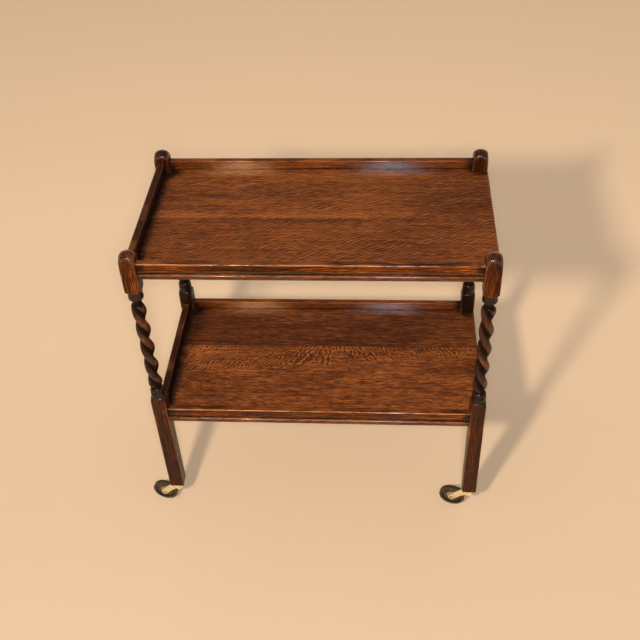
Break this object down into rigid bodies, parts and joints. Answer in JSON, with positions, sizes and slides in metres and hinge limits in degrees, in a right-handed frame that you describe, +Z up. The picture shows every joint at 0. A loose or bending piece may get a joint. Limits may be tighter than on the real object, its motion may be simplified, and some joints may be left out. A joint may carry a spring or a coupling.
{
  "type": "bar cart",
  "caption": "Oak tea trolley or bar cart with barley-twist posts, two galleried trays open at one end, and swivelling brass casters.",
  "frame": {"origin": "on the floor, under the middle of the trolley's box, which the trailing wheels widen at the left", "axes": "+X along the trays towards the open end, +Y from the front to the back, +Z up"},
  "size_m": [0.7512, 0.376, 0.7405],
  "materials": {
    "post_oak": "waxed dark oak",
    "board_oak": "polished quarter-sawn oak",
    "rail_oak": "polished dark oak",
    "hidden_oak": "bare oak",
    "brass": "worn polished brass",
    "wheel_bakelite": "dark brown moulded wheel",
    "iron": "dark iron",
    "steel": "dull steel"
  },
  "bodies": {
    "frame": {"back_left_caster_socket": "iron", "back_left_post": "post_oak", "back_right_caster_socket": "iron", "back_right_post": "post_oak", "front_left_caster_socket": "iron", "front_left_post": "post_oak", "front_right_caster_socket": "iron", "front_right_post": "post_oak", "lower_tray_back_board": "board_oak", "lower_tray_back_rail": "rail_oak", "lower_tray_bearer_screws": "steel", "lower_tray_front_board": "board_oak", "lower_tray_front_rail": "rail_oak", "lower_tray_left_bearer": "hidden_oak", "lower_tray_left_rail": "rail_oak", "lower_tray_rail_screws": "steel", "lower_tray_right_bearer": "hidden_oak", "lower_tray_tongue": "hidden_oak", "top_tray_back_board": "board_oak", "top_tray_back_rail": "rail_oak", "top_tray_bearer_screws": "steel", "top_tray_front_board": "board_oak", "top_tray_front_rail": "rail_oak", "top_tray_left_bearer": "hidden_oak", "top_tray_left_rail": "rail_oak", "top_tray_rail_screws": "steel", "top_tray_right_bearer": "hidden_oak", "top_tray_tongue": "hidden_oak"},
    "front_left_caster": {"front_left_caster_horn": "brass", "front_left_caster_pintle": "steel", "front_left_caster_axle": "steel"},
    "front_left_wheel": {"front_left_caster_wheel": "wheel_bakelite"},
    "front_right_caster": {"front_right_caster_horn": "brass", "front_right_caster_pintle": "steel", "front_right_caster_axle": "steel"},
    "front_right_wheel": {"front_right_caster_wheel": "wheel_bakelite"},
    "back_left_caster": {"back_left_caster_horn": "brass", "back_left_caster_pintle": "steel", "back_left_caster_axle": "steel"},
    "back_left_wheel": {"back_left_caster_wheel": "wheel_bakelite"},
    "back_right_caster": {"back_right_caster_horn": "brass", "back_right_caster_pintle": "steel", "back_right_caster_axle": "steel"},
    "back_right_wheel": {"back_right_caster_wheel": "wheel_bakelite"}
  },
  "joints": [
    {"name": "front_left_swivel", "type": "hinge", "parent": "frame", "child": "front_left_caster", "pos_m": [-0.31063, -0.17275, 0.069], "axis": [0, 0, 1], "continuous": true},
    {"name": "front_left_wheel_spin", "type": "hinge", "parent": "front_left_caster", "child": "front_left_wheel", "pos_m": [-0.34628, -0.16774, 0.029], "axis": [0.1392, 0.9903, 0], "continuous": true},
    {"name": "front_right_swivel", "type": "hinge", "parent": "frame", "child": "front_right_caster", "pos_m": [0.35887, -0.17275, 0.069], "axis": [0, 0, 1], "continuous": true},
    {"name": "front_right_wheel_spin", "type": "hinge", "parent": "front_right_caster", "child": "front_right_wheel", "pos_m": [0.32394, -0.16404, 0.029], "axis": [0.2419, 0.9703, 0], "continuous": true},
    {"name": "back_left_swivel", "type": "hinge", "parent": "frame", "child": "back_left_caster", "pos_m": [-0.31063, 0.17275, 0.069], "axis": [0, 0, 1], "continuous": true},
    {"name": "back_left_wheel_spin", "type": "hinge", "parent": "back_left_caster", "child": "back_left_wheel", "pos_m": [-0.34643, 0.16899, 0.029], "axis": [-0.1045, 0.9945, 0], "continuous": true},
    {"name": "back_right_swivel", "type": "hinge", "parent": "frame", "child": "back_right_caster", "pos_m": [0.35887, 0.17275, 0.069], "axis": [0, 0, 1], "continuous": true},
    {"name": "back_right_wheel_spin", "type": "hinge", "parent": "back_right_caster", "child": "back_right_wheel", "pos_m": [0.32342, 0.1665, 0.029], "axis": [-0.1736, 0.9848, 0], "continuous": true}
  ]
}
